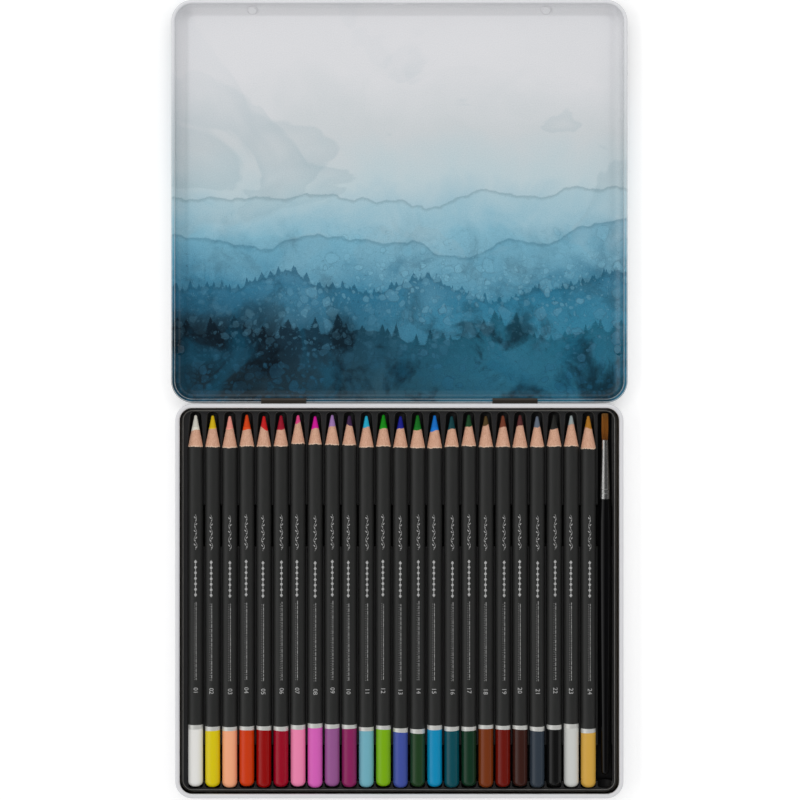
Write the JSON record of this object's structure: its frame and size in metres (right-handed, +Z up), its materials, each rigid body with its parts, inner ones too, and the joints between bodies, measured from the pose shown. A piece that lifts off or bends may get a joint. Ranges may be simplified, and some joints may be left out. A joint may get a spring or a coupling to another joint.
{
  "type": "colored pencil tin",
  "caption": "Flat hinged sheet-metal tin, lying open, with a moulded tray that holds a row of round colored pencils and a paint brush.",
  "frame": {"origin": "middle of the underside of the base, on the table", "axes": "+Z up, +Y from the front edge of the base to the hinge and on over the open lid, +X to the right"},
  "size_m": [0.215, 0.3756, 0.0112],
  "materials": {
    "tin_base": "satin white enamel",
    "tin_lid": "satin print",
    "tray": "satin",
    "handle": "gloss lacquer",
    "ferrule": "polished",
    "hair": "soft hair",
    "barrel": "satin lacquer",
    "lead_white": "wax lead",
    "lead_yellow": "wax lead",
    "lead_peach": "wax lead",
    "lead_orange": "wax lead",
    "lead_red": "wax lead",
    "lead_crimson": "wax lead",
    "lead_pink": "wax lead",
    "lead_magenta": "wax lead",
    "lead_lilac": "wax lead",
    "lead_plum": "wax lead",
    "lead_sky_blue": "wax lead",
    "lead_light_green": "wax lead",
    "lead_violet_blue": "wax lead",
    "lead_dark_green": "wax lead",
    "lead_cyan_blue": "wax lead",
    "lead_teal": "wax lead",
    "lead_forest_green": "wax lead",
    "lead_brown": "wax lead",
    "lead_russet": "wax lead",
    "lead_umber": "wax lead",
    "lead_slate": "wax lead",
    "lead_black": "wax lead",
    "lead_silver": "wax lead",
    "lead_gold": "wax lead"
  },
  "bodies": {
    "base": {"base_pan": "tin_base"},
    "lid": {"lid": "tin_lid"},
    "tray": {"tray": "tray"},
    "brush": {"brush_handle": "handle", "brush_ferrule": "ferrule", "brush_hair": "hair"},
    "pencil_white": {"pencil_white_barrel": "barrel", "pencil_white_lead": "lead_white"},
    "pencil_yellow": {"pencil_yellow_barrel": "barrel", "pencil_yellow_lead": "lead_yellow"},
    "pencil_peach": {"pencil_peach_barrel": "barrel", "pencil_peach_lead": "lead_peach"},
    "pencil_orange": {"pencil_orange_barrel": "barrel", "pencil_orange_lead": "lead_orange"},
    "pencil_red": {"pencil_red_barrel": "barrel", "pencil_red_lead": "lead_red"},
    "pencil_crimson": {"pencil_crimson_barrel": "barrel", "pencil_crimson_lead": "lead_crimson"},
    "pencil_pink": {"pencil_pink_barrel": "barrel", "pencil_pink_lead": "lead_pink"},
    "pencil_magenta": {"pencil_magenta_barrel": "barrel", "pencil_magenta_lead": "lead_magenta"},
    "pencil_lilac": {"pencil_lilac_barrel": "barrel", "pencil_lilac_lead": "lead_lilac"},
    "pencil_plum": {"pencil_plum_barrel": "barrel", "pencil_plum_lead": "lead_plum"},
    "pencil_sky_blue": {"pencil_sky_blue_barrel": "barrel", "pencil_sky_blue_lead": "lead_sky_blue"},
    "pencil_light_green": {"pencil_light_green_barrel": "barrel", "pencil_light_green_lead": "lead_light_green"},
    "pencil_violet_blue": {"pencil_violet_blue_barrel": "barrel", "pencil_violet_blue_lead": "lead_violet_blue"},
    "pencil_dark_green": {"pencil_dark_green_barrel": "barrel", "pencil_dark_green_lead": "lead_dark_green"},
    "pencil_cyan_blue": {"pencil_cyan_blue_barrel": "barrel", "pencil_cyan_blue_lead": "lead_cyan_blue"},
    "pencil_teal": {"pencil_teal_barrel": "barrel", "pencil_teal_lead": "lead_teal"},
    "pencil_forest_green": {"pencil_forest_green_barrel": "barrel", "pencil_forest_green_lead": "lead_forest_green"},
    "pencil_brown": {"pencil_brown_barrel": "barrel", "pencil_brown_lead": "lead_brown"},
    "pencil_russet": {"pencil_russet_barrel": "barrel", "pencil_russet_lead": "lead_russet"},
    "pencil_umber": {"pencil_umber_barrel": "barrel", "pencil_umber_lead": "lead_umber"},
    "pencil_slate": {"pencil_slate_barrel": "barrel", "pencil_slate_lead": "lead_slate"},
    "pencil_black": {"pencil_black_barrel": "barrel", "pencil_black_lead": "lead_black"},
    "pencil_silver": {"pencil_silver_barrel": "barrel", "pencil_silver_lead": "lead_silver"},
    "pencil_gold": {"pencil_gold_barrel": "barrel", "pencil_gold_lead": "lead_gold"}
  },
  "joints": [
    {"name": "lid_hinge", "type": "hinge", "parent": "base", "child": "lid", "pos_m": [0, 0.094, 0.0076], "axis": [-1, 0, 0], "range_deg": [-180, 0]},
    {"name": "tray_lift", "type": "slide", "parent": "base", "child": "tray", "axis": [0, 0, 1], "range_m": [0, 0.02]},
    {"name": "brush_lift", "type": "slide", "parent": "tray", "child": "brush", "axis": [0, 0, 1], "range_m": [0, 0.025]},
    {"name": "pencil_white_lift", "type": "slide", "parent": "tray", "child": "pencil_white", "axis": [0, 0, 1], "range_m": [0, 0.025]},
    {"name": "pencil_yellow_lift", "type": "slide", "parent": "tray", "child": "pencil_yellow", "axis": [0, 0, 1], "range_m": [0, 0.025]},
    {"name": "pencil_peach_lift", "type": "slide", "parent": "tray", "child": "pencil_peach", "axis": [0, 0, 1], "range_m": [0, 0.025]},
    {"name": "pencil_orange_lift", "type": "slide", "parent": "tray", "child": "pencil_orange", "axis": [0, 0, 1], "range_m": [0, 0.025]},
    {"name": "pencil_red_lift", "type": "slide", "parent": "tray", "child": "pencil_red", "axis": [0, 0, 1], "range_m": [0, 0.025]},
    {"name": "pencil_crimson_lift", "type": "slide", "parent": "tray", "child": "pencil_crimson", "axis": [0, 0, 1], "range_m": [0, 0.025]},
    {"name": "pencil_pink_lift", "type": "slide", "parent": "tray", "child": "pencil_pink", "axis": [0, 0, 1], "range_m": [0, 0.025]},
    {"name": "pencil_magenta_lift", "type": "slide", "parent": "tray", "child": "pencil_magenta", "axis": [0, 0, 1], "range_m": [0, 0.025]},
    {"name": "pencil_lilac_lift", "type": "slide", "parent": "tray", "child": "pencil_lilac", "axis": [0, 0, 1], "range_m": [0, 0.025]},
    {"name": "pencil_plum_lift", "type": "slide", "parent": "tray", "child": "pencil_plum", "axis": [0, 0, 1], "range_m": [0, 0.025]},
    {"name": "pencil_sky_blue_lift", "type": "slide", "parent": "tray", "child": "pencil_sky_blue", "axis": [0, 0, 1], "range_m": [0, 0.025]},
    {"name": "pencil_light_green_lift", "type": "slide", "parent": "tray", "child": "pencil_light_green", "axis": [0, 0, 1], "range_m": [0, 0.025]},
    {"name": "pencil_violet_blue_lift", "type": "slide", "parent": "tray", "child": "pencil_violet_blue", "axis": [0, 0, 1], "range_m": [0, 0.025]},
    {"name": "pencil_dark_green_lift", "type": "slide", "parent": "tray", "child": "pencil_dark_green", "axis": [0, 0, 1], "range_m": [0, 0.025]},
    {"name": "pencil_cyan_blue_lift", "type": "slide", "parent": "tray", "child": "pencil_cyan_blue", "axis": [0, 0, 1], "range_m": [0, 0.025]},
    {"name": "pencil_teal_lift", "type": "slide", "parent": "tray", "child": "pencil_teal", "axis": [0, 0, 1], "range_m": [0, 0.025]},
    {"name": "pencil_forest_green_lift", "type": "slide", "parent": "tray", "child": "pencil_forest_green", "axis": [0, 0, 1], "range_m": [0, 0.025]},
    {"name": "pencil_brown_lift", "type": "slide", "parent": "tray", "child": "pencil_brown", "axis": [0, 0, 1], "range_m": [0, 0.025]},
    {"name": "pencil_russet_lift", "type": "slide", "parent": "tray", "child": "pencil_russet", "axis": [0, 0, 1], "range_m": [0, 0.025]},
    {"name": "pencil_umber_lift", "type": "slide", "parent": "tray", "child": "pencil_umber", "axis": [0, 0, 1], "range_m": [0, 0.025]},
    {"name": "pencil_slate_lift", "type": "slide", "parent": "tray", "child": "pencil_slate", "axis": [0, 0, 1], "range_m": [0, 0.025]},
    {"name": "pencil_black_lift", "type": "slide", "parent": "tray", "child": "pencil_black", "axis": [0, 0, 1], "range_m": [0, 0.025]},
    {"name": "pencil_silver_lift", "type": "slide", "parent": "tray", "child": "pencil_silver", "axis": [0, 0, 1], "range_m": [0, 0.025]},
    {"name": "pencil_gold_lift", "type": "slide", "parent": "tray", "child": "pencil_gold", "axis": [0, 0, 1], "range_m": [0, 0.025]}
  ]
}
